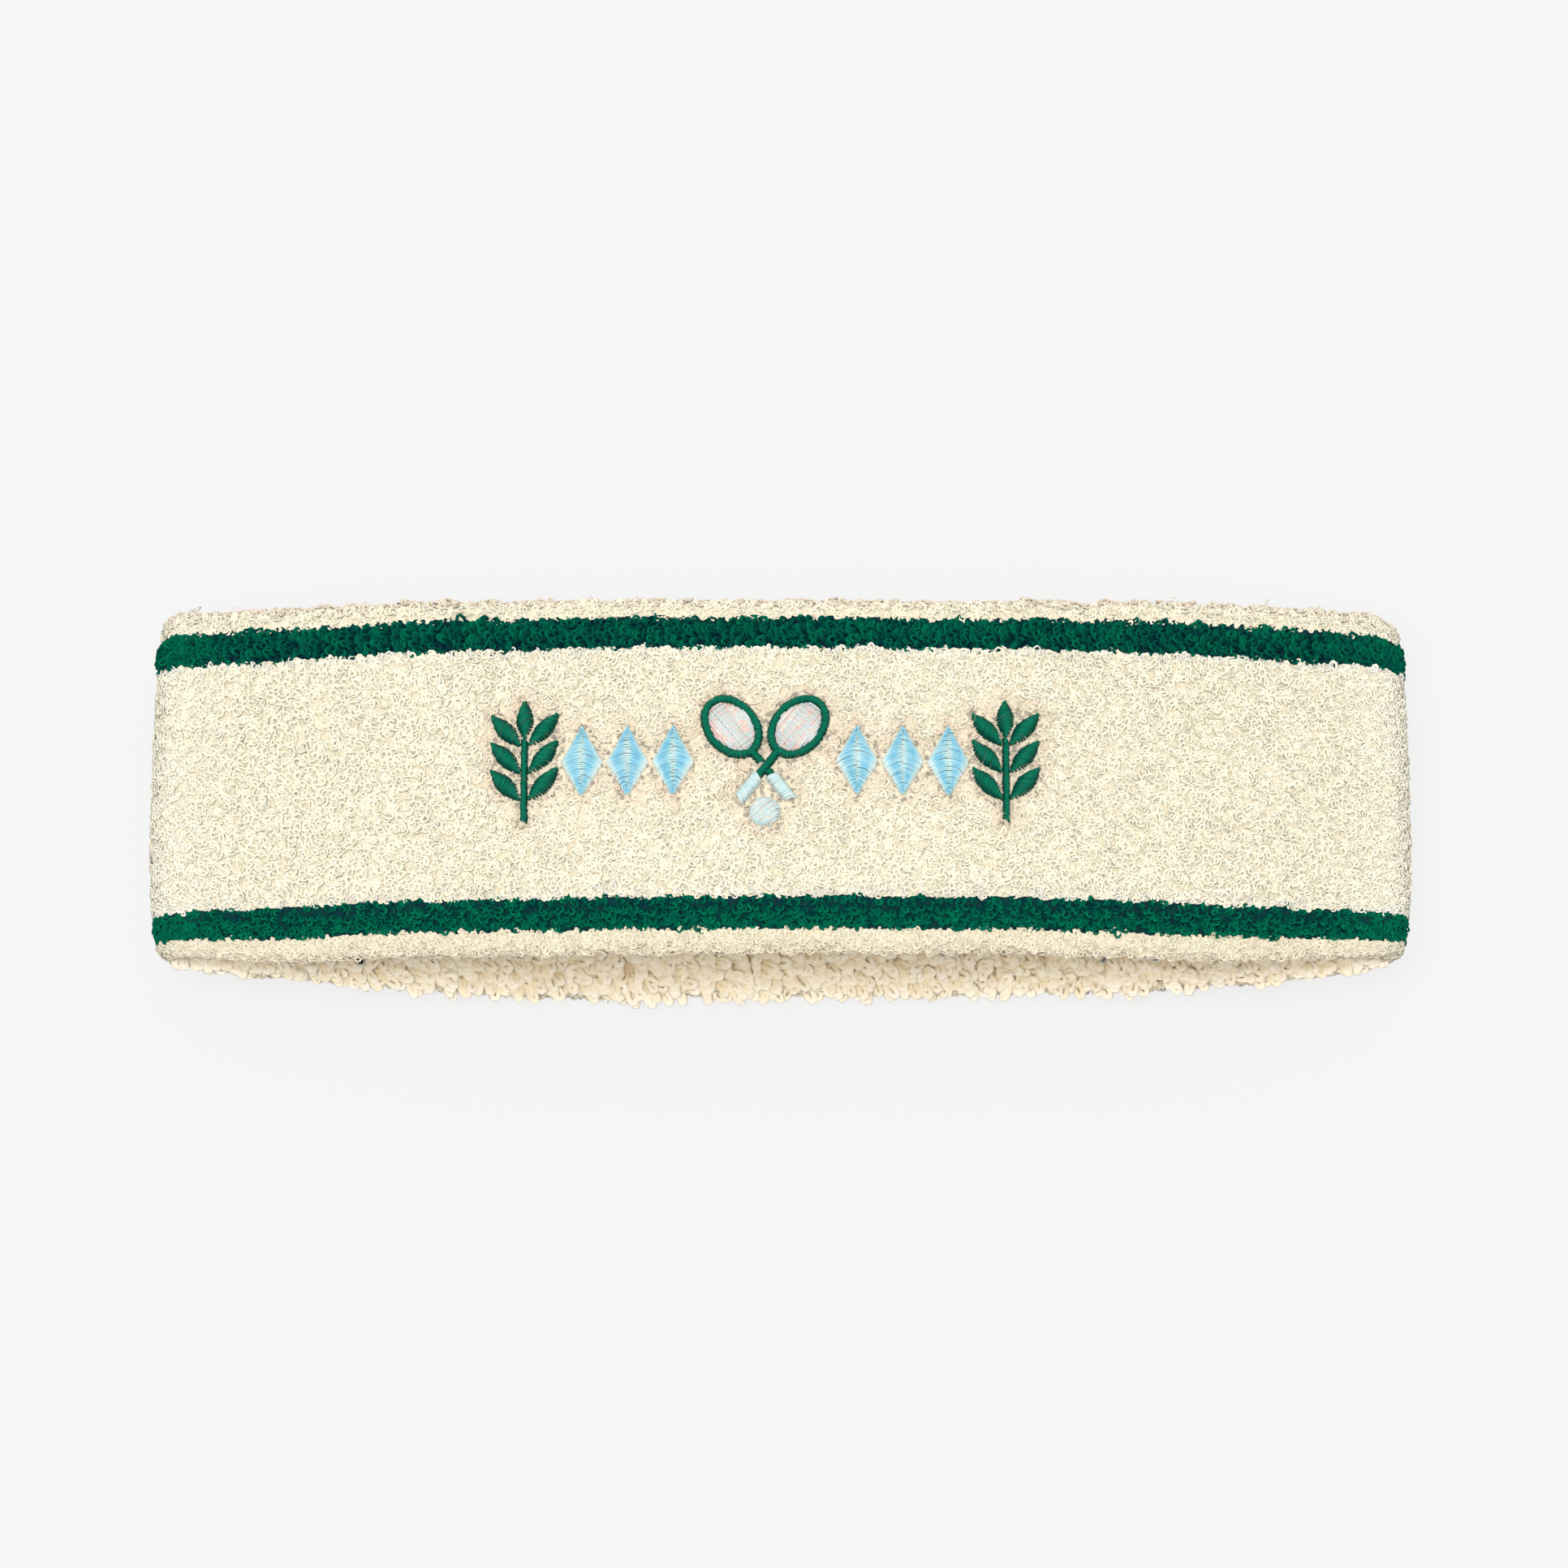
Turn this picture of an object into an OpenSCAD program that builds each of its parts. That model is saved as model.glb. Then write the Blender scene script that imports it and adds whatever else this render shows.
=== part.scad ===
// Terry sports headband: a double-layer knitted loop lying flat on its back wall.
// X runs along the folded width, Y along the height of the band, Z is the
// thickness of the flattened loop.  The loop's own axis is Y.  Millimetres.

/* [Loop] */
// folded width, outer fold to outer fold
band_w = 180; // [150:1:210]
// height of the knitted band, edge to edge
band_h = 51.5; // [35:0.5:80]
// thickness of the flattened loop in the middle
loop_t = 30; // [20:0.2:40]
// height of the two side folds above the rest surface
fold_z = 15.6; // [11:0.2:22]
// half length of the part of the back wall that lies flat
flat_half = 26; // [10:1:60]
// inner radius left at each side fold
fold_r = 0.8; // [0.5:0.1:5]

/* [Cloth] */
// pile and knit of the outer layer
outer_t = 1.8; // [1:0.1:3]
// elastic ground between the two layers
core_t = 0.8; // [0.4:0.1:1.5]
// pile and knit of the inner layer
lining_t = 1.6; // [1:0.1:3]
// how far the knitted edges draw in at the side folds
edge_draw = 0.9; // [0:0.1:1.1]

/* [Stripes] */
// distance of the inner border of each stripe from the middle of the band
stripe_at = 18.15; // [10:0.05:30]
// height of one stripe
stripe_h = 4.6; // [2:0.1:8]

/* [Emblem] */
// sideways place of the emblem
emblem_x = -2.1; // [-20:0.1:20]
// place of the emblem above the middle of the band
emblem_y = 1.2; // [-5:0.1:5]
// how far the stitches stand on the cloth
stitch_t = 0.7; // [0.3:0.1:1.2]
// distance of each leaf spray from the emblem's centre
spray_at = 33.8; // [28:0.1:40]
// distance of the first lozenge from the emblem's centre
lozenge_at = 12.9; // [12.5:0.1:16]
// spacing of the lozenges
lozenge_pitch = 6.4; // [6.2:0.1:6.6]
// lean of each racket from upright, in degrees
racket_lean = 38; // [36:1:42]

/* [Seam] */
// width of the closing seam inside the loop
seam_w = 1.6; // [1:0.1:3]
// height of the closing seam over the lining
seam_t = 0.5; // [0.3:0.1:1]

/* [Hidden] */
$fn = 48;
wall_t = outer_t + core_t + lining_t;
n_in = fold_r;
n_core = n_in + lining_t;
n_mid = n_core + core_t;
n_out = n_in + wall_t;
lens_a = band_w / 2 - n_out;
lens_up = loop_t - fold_z - n_out;
lens_low = fold_z - n_out;
low_gain = 1 / (1 - pow(flat_half / lens_a, 2));
stripe_top = stripe_at + stripe_h;
edge_r = wall_t / 2;
wall_steps = 30;
low_steps = 22;
fold_steps = 10;
edge_steps = 8;
leaf_l = 6.2;
leaf_w = 2.3;
leaf_lean = 42;
leaf_pitch = 4;
stem_w = 0.7;
lozenge_w = 5.8;
lozenge_h = 10.2;
head_rx = 3.7;
head_ry = 5;
head_at = 7.6;
frame_w = 0.9;
shaft_w = 1;
grip_w = 1.7;
grip_l = 4.4;
grip_at = 1.6;
ball_r = 2.1;
racket_y = -1;
ball_y = -7.5;

cream = [0.94, 0.91, 0.81];
lining_tan = [0.88, 0.82, 0.70];
green = [0.00, 0.33, 0.24];
light_blue = [0.60, 0.80, 0.88];
string_mix = [0.88, 0.84, 0.82];
elastic_grey = [0.80, 0.78, 0.74];

// ---- the loop's section -------------------------------------------------

// the walls are two shallow arcs that meet in a tight fold at each side;
// each function gives the right half's point at x, moved outward by n
function front_point(x, n) =
    let (slope = 2 * lens_up * x / pow(lens_a, 2),
         k = sqrt(1 + slope * slope))
    [x + n * slope / k, fold_z + lens_up * (1 - pow(x / lens_a, 2)) + n / k];
function back_point(x, n) =
    let (b = lens_low * low_gain,
         slope = 2 * b * x / pow(lens_a, 2),
         k = sqrt(1 + slope * slope))
    x <= flat_half ? [x, n_out - n]
    : [x + n * slope / k, fold_z - b * (1 - pow(x / lens_a, 2)) - n / k];
function fold_point(angle, n) = [lens_a + n * cos(angle), fold_z + n * sin(angle)];
function flip_x(p) = [-p[0], p[1]];

// directions of the walls' normals where they enter the fold
fold_top = atan(lens_a / (2 * lens_up));
fold_low = -atan(lens_a / (2 * lens_low * low_gain));

function fold_angle(i) = fold_low + (fold_top - fold_low) * i / (2 * fold_steps);
function low_x(i) = flat_half + (lens_a - flat_half) * i / low_steps;

// the whole closed section, counterclockwise from the bottom of the right fold
function loop_points(n) = concat(
    [for (i = [0 : 2 * fold_steps]) fold_point(fold_angle(i), n)],
    [for (i = [wall_steps - 1 : -1 : 1]) front_point(lens_a * i / wall_steps, n)],
    [for (i = [0 : wall_steps - 1]) flip_x(front_point(lens_a * i / wall_steps, n))],
    [for (i = [2 * fold_steps : -1 : 0]) flip_x(fold_point(fold_angle(i), n))],
    [for (i = [low_steps - 1 : -1 : 0]) flip_x(back_point(low_x(i), n))],
    [for (i = [0 : low_steps - 1]) back_point(low_x(i), n)]);

// a closed ring of cloth between two offsets and two heights on the band
module cloth_ring(n0, n1, y0, y1) {
    translate([0, y1, 0])
    rotate([90, 0, 0])
    linear_extrude(y1 - y0)
    difference() {
        polygon(loop_points(n1));
        polygon(loop_points(n0));
    }
}

// ---- the folded, half-round edges --------------------------------------

// how much an edge draws in at a place x along the width
function draw_in(x) = edge_draw * pow(min(1, abs(x) / (band_w / 2)), 8);

// offsets and heights round the folded edge, from the lining over to the outside
function edge_profile(x) = concat(
    [[n_in, stripe_top]],
    [for (j = [0 : edge_steps])
        let (t = 180 - 180 * j / edge_steps)
        [n_in + edge_r + edge_r * cos(t),
         band_h / 2 - edge_r - draw_in(x) + edge_r * sin(t)]],
    [[n_out, stripe_top]]);

// one folded edge carried all round the loop; side is 1 above, -1 below
module folded_edge(side) {
    rail = loop_points(n_out);
    profile_n = edge_steps + 3;
    lines = [for (j = [0 : profile_n - 1])
        let (n_j = edge_profile(0)[j][0])
        loop_points(n_j)];
    points = [for (i = [0 : len(rail) - 1])
        let (prof = edge_profile(rail[i][0]))
        for (j = [0 : profile_n - 1])
            [lines[j][i][0], side * prof[j][1], lines[j][i][1]]];
    rails = len(rail);
    faces = [for (i = [0 : rails - 1])
        for (j = [0 : profile_n - 1])
            let (i2 = (i + 1) % rails,
                 j2 = (j + 1) % profile_n,
                 quad = [i * profile_n + j, i * profile_n + j2,
                         i2 * profile_n + j2, i2 * profile_n + j])
            side > 0 ? quad : [quad[3], quad[2], quad[1], quad[0]]];
    polyhedron(points, faces);
}

// ---- stitched shapes on the front wall -----------------------------------

// a layer of stitches over the front wall, cut to the flat shape given
module stitched() {
    reach = 20;
    function strip(n) = [for (i = [reach : -1 : -reach])
        let (p = front_point(lens_a * abs(i) / wall_steps, n))
        i < 0 ? flip_x(p) : p];
    low = strip(n_out);
    high = strip(n_out + stitch_t);
    intersection() {
        translate([0, band_h / 2, 0])
        rotate([90, 0, 0])
        linear_extrude(band_h)
        polygon(concat(low, [for (k = [len(high) - 1 : -1 : 0]) high[k]]));
        translate([emblem_x, emblem_y, fold_z])
        linear_extrude(2 * loop_t)
        children();
    }
}

// a pointed leaf along +Y from the origin
module leaf_shape(l, w) {
    r = (l * l / 4 + w * w / 4) / w;
    intersection() {
        translate([w / 2 - r, l / 2]) circle(r);
        translate([r - w / 2, l / 2]) circle(r);
    }
}

module spray_leaves(side) {
    translate([side * spray_at, 0]) {
        for (k = [0 : 2])
            for (hand = [-1, 1])
                translate([hand * (stem_w / 2 + 0.25), -5.4 + leaf_pitch * k])
                rotate(-hand * leaf_lean)
                leaf_shape(leaf_l, leaf_w);
        translate([0, 3.6]) leaf_shape(leaf_l - 0.6, leaf_w);
    }
}

module spray_stem(side) {
    translate([side * spray_at - stem_w / 2, -8.6])
    square([stem_w, 11.9]);
}

module lozenge_shape() {
    polygon([[0, lozenge_h / 2], [-lozenge_w / 2, 0], [0, -lozenge_h / 2], [lozenge_w / 2, 0]]);
}

function ellipse_points(rx, ry) =
    [for (i = [0 : $fn - 1]) [rx * cos(360 * i / $fn), ry * sin(360 * i / $fn)]];

// place a racket's own shape; hand is 1 for the one that leans right
module racket_place(hand) {
    translate([0, racket_y]) rotate(-hand * racket_lean) children();
}

module frame_shape() {
    translate([0, head_at])
    difference() {
        polygon(ellipse_points(head_rx, head_ry));
        polygon(ellipse_points(head_rx - frame_w, head_ry - frame_w));
    }
    translate([-shaft_w / 2, -grip_at + 0.15])
    square([shaft_w, head_at - head_ry + grip_at + 0.2]);
}

module strings_shape() {
    translate([0, head_at])
    polygon(ellipse_points(head_rx - frame_w - 0.1, head_ry - frame_w - 0.1));
}

module grip_shape() {
    translate([-grip_w / 2, -grip_at - grip_l])
    square([grip_w, grip_l]);
}

// the strip kept free where the first racket's shaft passes over the second
module crossing_gap() {
    translate([-shaft_w / 2 - 0.15, -4]) square([shaft_w + 0.3, 8]);
}

// ---- the named parts ------------------------------------------------------

module outer_field() {
    color(cream) cloth_ring(n_mid, n_out, -stripe_at, stripe_at);
}

module upper_stripe() {
    color(green) cloth_ring(n_mid, n_out, stripe_at, stripe_top);
}

module lower_stripe() {
    color(green) cloth_ring(n_mid, n_out, -stripe_top, -stripe_at);
}

module upper_edge() {
    color(cream) folded_edge(1);
}

module lower_edge() {
    color(cream) folded_edge(-1);
}

module elastic_core() {
    color(elastic_grey) cloth_ring(n_core, n_mid, -stripe_top, stripe_top);
}

module inner_lining() {
    color(lining_tan) cloth_ring(n_in, n_core, -stripe_top, stripe_top);
}

module closing_seam() {
    color(cream) cloth_ring(n_in - seam_t, n_in, -seam_w / 2, seam_w / 2);
}

module left_stem() {
    color(green) stitched() spray_stem(-1);
}

module left_leaves() {
    color(green) stitched() spray_leaves(-1);
}

module right_stem() {
    color(green) stitched() spray_stem(1);
}

module right_leaves() {
    color(green) stitched() spray_leaves(1);
}

// lozenges are counted from left to right, three on each side of the rackets
module lozenge(i) {
    side = i <= 3 ? -1 : 1;
    step = i <= 3 ? 3 - i : i - 4;
    color(light_blue)
    stitched()
    translate([side * (lozenge_at + lozenge_pitch * step), 0])
    lozenge_shape();
}

module racket_frame_a() {
    color(green) stitched() racket_place(1) frame_shape();
}

module racket_frame_b() {
    color(green)
    stitched()
    difference() {
        racket_place(-1) frame_shape();
        racket_place(1) crossing_gap();
    }
}

module racket_strings_a() {
    color(string_mix) stitched() racket_place(1) strings_shape();
}

module racket_strings_b() {
    color(string_mix) stitched() racket_place(-1) strings_shape();
}

module racket_grip_a() {
    color(light_blue) stitched() racket_place(1) grip_shape();
}

module racket_grip_b() {
    color(light_blue) stitched() racket_place(-1) grip_shape();
}

module ball_patch() {
    color(light_blue) stitched() translate([0, ball_y]) circle(ball_r);
}

outer_field();
upper_stripe();
lower_stripe();
upper_edge();
lower_edge();
elastic_core();
inner_lining();
closing_seam();
left_stem();
left_leaves();
right_stem();
right_leaves();
lozenge(1);  // lozenge_1
lozenge(2);  // lozenge_2
lozenge(3);  // lozenge_3
lozenge(4);  // lozenge_4
lozenge(5);  // lozenge_5
lozenge(6);  // lozenge_6
racket_frame_a();
racket_frame_b();
racket_strings_a();
racket_strings_b();
racket_grip_a();
racket_grip_b();
ball_patch();
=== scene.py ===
import math

import bpy
import numpy as np
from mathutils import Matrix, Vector


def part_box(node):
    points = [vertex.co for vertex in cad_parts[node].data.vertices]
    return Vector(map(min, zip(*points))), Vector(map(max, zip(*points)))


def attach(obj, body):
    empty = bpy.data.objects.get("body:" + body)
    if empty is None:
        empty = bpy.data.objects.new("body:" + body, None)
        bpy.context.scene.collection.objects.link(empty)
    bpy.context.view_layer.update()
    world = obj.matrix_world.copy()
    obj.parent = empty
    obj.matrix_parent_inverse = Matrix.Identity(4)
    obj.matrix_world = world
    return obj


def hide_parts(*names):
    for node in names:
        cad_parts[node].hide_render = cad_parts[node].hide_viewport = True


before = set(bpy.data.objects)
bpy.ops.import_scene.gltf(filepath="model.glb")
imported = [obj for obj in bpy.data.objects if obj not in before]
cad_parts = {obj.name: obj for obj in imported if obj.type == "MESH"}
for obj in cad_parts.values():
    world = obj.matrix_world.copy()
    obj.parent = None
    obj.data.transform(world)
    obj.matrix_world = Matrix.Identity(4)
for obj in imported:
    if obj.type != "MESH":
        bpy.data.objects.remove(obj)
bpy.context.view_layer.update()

# A terry sports headband lying flat on its back wall.  Lengths are in
# millimetres until a mesh is made; s runs round the loop from the middle of
# the front wall towards +X, v runs round the section of the cloth from the
# middle of its outer face towards the upper edge.

MM = 0.001
rng = np.random.default_rng(20)


def top_corner(node):
    """Highest corner of a node of the frame, in millimetres."""
    return np.array(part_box(node)[1]) / MM


# ---- sizes ----

HALF_W, STRIPE_AT, LOOP_T = top_corner("outer_field")
STRIPE_TOP = top_corner("upper_stripe")[1]
HALF_H = top_corner("upper_edge")[1]

# thickness of the cloth, inner radius and height of the side folds, and half
# the length of the back wall that lies flat
WALL_T = 4.2
FOLD_R = 0.8
FOLD_Z = 15.6
FLAT_HALF = 26.0
EDGE_R = WALL_T / 2
FACE_H = HALF_H - EDGE_R
EDGE_ARC = math.pi * EDGE_R

# depth of each sheet of cloth under the plain surface, and its thickness
GROUND_DEPTH, GROUND_T = 0.74, 0.35
CREST_RISE = 0.16
CORE_DEPTH, CORE_T = 1.85, 0.7
LINING_DEPTH, LINING_T = 1.28, 0.3
SHELL_STEP = 1.0
# where the closing seam runs round the section, and half its width
SEAM_AT = FACE_H + EDGE_ARC + FACE_H
SEAM_HALF = 0.8

# how a soft band departs from the plain form: its width and how it narrows
# towards the edges, as shares, and the sideways moves of its edges
WIDEN = 0.004
BARREL_UPPER, BARREL_LOWER = 0.010, 0.022
SPREAD_UPPER = 1.9
CORNER_UPPER_LEFT, CORNER_UPPER_RIGHT = 0.9, 1.9
CORNER_LOWER = 2.3
EDGE_WAVE, EDGE_SHRINK = 0.25, 0.6
SCALLOP_UPPER, SCALLOP_LOWER = 0.24, 0.10
FRONT_DROP = 0.7
WALL_WAVE = 0.25

# at a side fold loops lie down towards this lean, are painted evenly pale, as painted light of the
# brightly lit ends, and are smaller
FOLD_FLATTEN, FOLD_LEAN, FOLD_PAINTED_LIGHT, FOLD_SHRINK = 0.8, 1.38, 0.9, 0.25
# where along half the width that begins, and over how much of it it builds up
FOLD_FROM, FOLD_OVER = 0.86, 0.1
# how far the fuzz of rounded cloth turns up, and how far along the lower edge of either wall
TURN_UP, TURN_FRONT_UNDER, TURN_BACK_UNDER = 1.5, 0.7, 0.9
# spacing of the loops of each pile, and width of the pressed-down rim round each stitched shape
FIELD_PITCH, BORDER_PITCH, EDGE_PITCH, STRAY_PITCH, LINING_PITCH = 0.66, 0.75, 0.60, 2.4, 1.08
STRAY_SHARE = 0.16
SEAM_PITCH = 1.1
RIM_W = 0.9
# how far the pile of a stripe stops short of its knitted borders, inner and outer
STRIPE_TRIM = {1: (0.0, 0.55), -1: (0.25, 0.20)}
# seeds of the wavy borders of colour, inner and outer, of either stripe
INNER_SEED = {1: 31, -1: 32}
OUTER_SEED = {1: 33, -1: 34}


# ---- the loop's middle line ----

def quarter(low, count=500):
    """X and Z of a quarter of the middle line, from the centre of a wall round to the right fold."""
    n_out = FOLD_R + WALL_T
    n = FOLD_R + WALL_T / 2
    a = HALF_W - n_out
    b = (FOLD_Z if low else LOOP_T - FOLD_Z) - n_out
    gain = 1 / (1 - (FLAT_HALF / a) ** 2) if low else 1.0
    x = np.linspace(0, a, count)
    slope = 2 * gain * b * x / a ** 2
    k = np.hypot(slope, 1)
    rise = gain * b * (1 - (x / a) ** 2)
    turn = np.linspace(math.atan2(1, slope[-1]), 0, count // 4)[1:]
    wall_z = np.minimum(rise + n / k, b + n)
    x = np.concatenate([x + n * slope / k, a + n * np.cos(turn)])
    z = np.concatenate([wall_z, n * np.sin(turn)])
    return x, FOLD_Z - z if low else FOLD_Z + z


def middle_line(step=0.25, blur=1.0):
    """The closed middle line at even steps, softened, with its tangents and outward normals."""
    xu, zu = quarter(False)
    xl, zl = quarter(True)
    x = np.concatenate([xu, xl[::-1], -xl[1:], -xu[::-1][:-1]])
    z = np.concatenate([zu, zl[::-1], zl[1:], zu[::-1][:-1]])
    run = np.concatenate([[0], np.cumsum(np.hypot(np.diff(x), np.diff(z)))])
    count = int(round(run[-1] / step))
    at = np.linspace(0, run[-1], count, endpoint=False)
    line = np.stack([np.interp(at, run, x), np.interp(at, run, z)], 1)
    reach = int(4 * blur / step)
    weight = np.exp(-0.5 * (np.arange(-reach, reach + 1) * step / blur) ** 2)
    weight /= weight.sum()
    line = sum(w * np.roll(line, k, 0) for w, k in zip(weight, range(-reach, reach + 1)))
    tangent = np.roll(line, -1, 0) - np.roll(line, 1, 0)
    tangent /= np.linalg.norm(tangent, axis=1)[:, None]
    normal = np.stack([-tangent[:, 1], tangent[:, 0]], 1)
    return line, tangent, normal


LINE, TANGENT, NORMAL = middle_line()
COUNT = len(LINE)
STEP = np.linalg.norm(LINE - np.roll(LINE, 1, 0), axis=1).mean()
LOOP_L = COUNT * STEP
STATIONS = np.arange(COUNT + 1) * STEP


def pick(table, s):
    """A value of a table along the loop at the distances s."""
    f = np.asarray(s) / STEP
    i = np.floor(f).astype(int)
    w = (f - i)[..., None]
    return table[i % COUNT] * (1 - w) + table[(i + 1) % COUNT] * w


def run_at(d):
    """Length round the loop at each step of the middle line, at depth d outward."""
    line = LINE + d * NORMAL
    gaps = np.linalg.norm(np.roll(line, -1, 0) - line, axis=1)
    return np.concatenate([[0], np.cumsum(gaps)])


def waves(seed, longest, shortest, terms=14):
    """A smooth periodic wobble along the loop, between about -1 and 1."""
    r = np.random.default_rng(seed)
    first, last = LOOP_L / longest, LOOP_L / shortest
    turns = np.round(np.geomspace(first, last, terms))
    size = (first / turns) ** 0.5
    phase = r.uniform(0, 2 * math.pi, terms)
    scale = 1 / np.sqrt((size ** 2).sum())

    def wave(s):
        angle = 2 * math.pi * np.multiply.outer(np.asarray(s) / LOOP_L, turns) + phase
        return (np.sin(angle) * size).sum(-1) * scale

    return wave


UPPER_WAVE = waves(3, 90, 6)
LOWER_WAVE = waves(4, 110, 8)
SCALLOPS = waves(6, 7, 2.4, 10)
WALL_SWELL = waves(5, 120, 25, 6)


def settle(p, s):
    """Moves points of the plain form to where the soft band lies.

    The edges spread or draw in towards the side folds and wave between them, the lower edge
    of the front wall hangs down a little, and the band is widest half-way up its height.
    """
    x, y, z = p[..., 0], p[..., 1], p[..., 2]
    edge = np.clip(np.abs(y) / HALF_H, 0, 1.1)
    side = np.clip(np.abs(x) / HALF_W, 0, 1.05)
    upper = y > 0
    wave = np.where(upper, UPPER_WAVE(s), LOWER_WAVE(s))
    front = np.clip((z - FOLD_Z) / (LOOP_T - FOLD_Z), 0, 1)
    corner = np.where(x < 0, CORNER_UPPER_LEFT, CORNER_UPPER_RIGHT)
    draw = np.where(upper, corner * side ** 28 - SPREAD_UPPER * side ** 2, CORNER_LOWER * side ** 6)
    draw = draw + np.where(upper, SCALLOP_UPPER, SCALLOP_LOWER) * SCALLOPS(s)
    shift = edge ** 6 * draw + edge ** 3 * EDGE_WAVE * (wave - EDGE_SHRINK)
    shift = shift - np.where(upper, 0, FRONT_DROP) * edge ** 4 * np.minimum(1, 3 * front)
    return np.stack([
        x * (1 + WIDEN - np.where(upper, BARREL_UPPER, BARREL_LOWER) * edge ** 3),
        y - np.sign(y) * shift,
        z + WALL_WAVE * WALL_SWELL(s) * front], -1)


def section(v):
    """Height, depth and turn of the cloth's surface at the distance v round its section."""
    size, side = np.abs(v), np.sign(v)
    turn = np.clip((size - FACE_H) / EDGE_R, 0, math.pi)
    back = np.maximum(0, size - FACE_H - EDGE_ARC)
    y = side * (np.minimum(size, FACE_H) + EDGE_R * np.sin(turn) - back)
    return y, EDGE_R * np.cos(turn), side * turn


def cloth_frame(s, v, lift=0.0):
    """Point on the cloth, and its directions along the loop, across the band and outward."""
    y, d, turn = section(v)
    m, t, n = pick(LINE, s), pick(TANGENT, s), pick(NORMAL, s)
    zero = np.zeros_like(y)
    along = np.stack([t[..., 0], zero, t[..., 1]], -1)
    out = np.stack([n[..., 0], zero, n[..., 1]], -1)
    up = np.zeros_like(out)
    up[..., 1] = 1
    cos, sin = np.cos(turn)[..., None], np.sin(turn)[..., None]
    across = cos * up - sin * out
    normal = sin * up + cos * out
    point = np.stack([m[..., 0], y, m[..., 1]], -1) + d[..., None] * out
    point = point + np.asarray(lift)[..., None] * normal
    return point, along, across, normal


# ---- meshes ----

def new_piece(name, vertices, faces, material, nodes):
    """Makes a mesh piece from millimetre vertices and quads, and puts it on the frame."""
    mesh = bpy.data.meshes.new(name)
    vertices = np.asarray(vertices, dtype=np.float32).reshape(-1, 3) * MM
    faces = np.asarray(faces, dtype=np.int32)
    size = faces.shape[1]
    mesh.vertices.add(len(vertices))
    mesh.vertices.foreach_set("co", vertices.ravel())
    mesh.loops.add(faces.size)
    mesh.loops.foreach_set("vertex_index", faces.ravel())
    mesh.polygons.add(len(faces))
    mesh.polygons.foreach_set("loop_start", np.arange(0, faces.size, size, dtype=np.int32))
    mesh.polygons.foreach_set("loop_total", np.full(len(faces), size, dtype=np.int32))
    mesh.update(calc_edges=True)
    mesh.validate()
    mesh.shade_smooth()
    mesh.materials.append(material)
    piece = bpy.data.objects.new(name, mesh)
    bpy.context.scene.collection.objects.link(piece)
    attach(piece, "root")
    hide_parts(*nodes)
    return piece


def point_values(piece, name, values, kind="FLOAT", key="value"):
    """Gives each vertex of a piece a number, or another kind of value, that its material reads."""
    layer = piece.data.attributes.new(name, kind, "POINT")
    layer.data.foreach_set(key, np.asarray(values, dtype=np.float32).ravel())


def point_facing(piece, facing):
    """Gives each vertex of a piece the direction its fuzz faces."""
    point_values(piece, "facing", facing, "FLOAT_VECTOR", "vector")


def corner_map(piece, name, uv):
    """Gives a piece a UV map from one pair of numbers per face corner."""
    layer = piece.data.uv_layers.new(name=name)
    layer.data.foreach_set("uv", np.asarray(uv, dtype=np.float32).ravel())


def tubes(lines, radius, side, sides):
    """Rings of vertices round many centre lines at once: (tube, point, side, xyz)."""
    t = np.gradient(lines, axis=1)
    t /= np.linalg.norm(t, axis=2, keepdims=True)
    u = side[:, None, :] - (side[:, None, :] * t).sum(2, keepdims=True) * t
    u /= np.linalg.norm(u, axis=2, keepdims=True)
    w = np.cross(t, u)
    angle = 2 * math.pi * np.arange(sides) / sides
    cos, sin = np.cos(angle)[None, None, :, None], np.sin(angle)[None, None, :, None]
    spread = cos * u[:, :, None, :] + sin * w[:, :, None, :]
    return lines[:, :, None, :] + radius[:, :, None, None] * spread


def tube_faces(count, points, sides):
    """Quads of the tubes, and where each corner lies along and round its tube."""
    tube = (np.arange(count) * points * sides)[:, None, None]
    i = np.arange(points - 1)[None, :, None]
    j = np.arange(sides)[None, None, :]
    k = (j + 1) % sides
    near, far = tube + i * sides, tube + (i + 1) * sides
    faces = np.stack([near + j, near + k, far + k, far + j], -1).reshape(-1, 4)
    near_end, near_side, _ = np.broadcast_arrays(i, j, tube)
    along = np.stack([near_end, near_end, near_end + 1, near_end + 1], -1) / (points - 1)
    round_ = np.stack([near_side, near_side + 1, near_side + 1, near_side], -1) / sides
    return faces, along, round_


def thread_piece(name, lines, radius, side, sides, tone, lift, material, nodes):
    """A piece made of many separate threads, each with a cell of its own in the maps.

    tone is a number for each thread and lift one for each of its points, for the material.
    """
    count, points, _ = lines.shape
    rings = tubes(lines, radius, side, sides)
    faces, along, round_ = tube_faces(count, points, sides)
    piece = new_piece(name, rings, faces, material, nodes)
    point_values(piece, "tone", np.repeat(tone, points * sides))
    point_values(piece, "lift", np.repeat(lift.reshape(-1), sides))
    cells = math.ceil(math.sqrt(count))
    index = np.arange(count)
    column, row = index % cells, index // cells
    filled = 0.9
    start = (1 - filled) / 2
    u = (column[:, None, None, None] + start + filled * along) / cells
    w = (row[:, None, None, None] + start + filled * round_) / cells
    corner_map(piece, "OFBake", np.stack([u, w], -1))
    length = np.linalg.norm(np.diff(lines, axis=1), axis=2).sum(1)
    corner_map(piece, "yarn", np.stack([along * length[:, None, None, None], round_], -1))
    return piece


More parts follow.
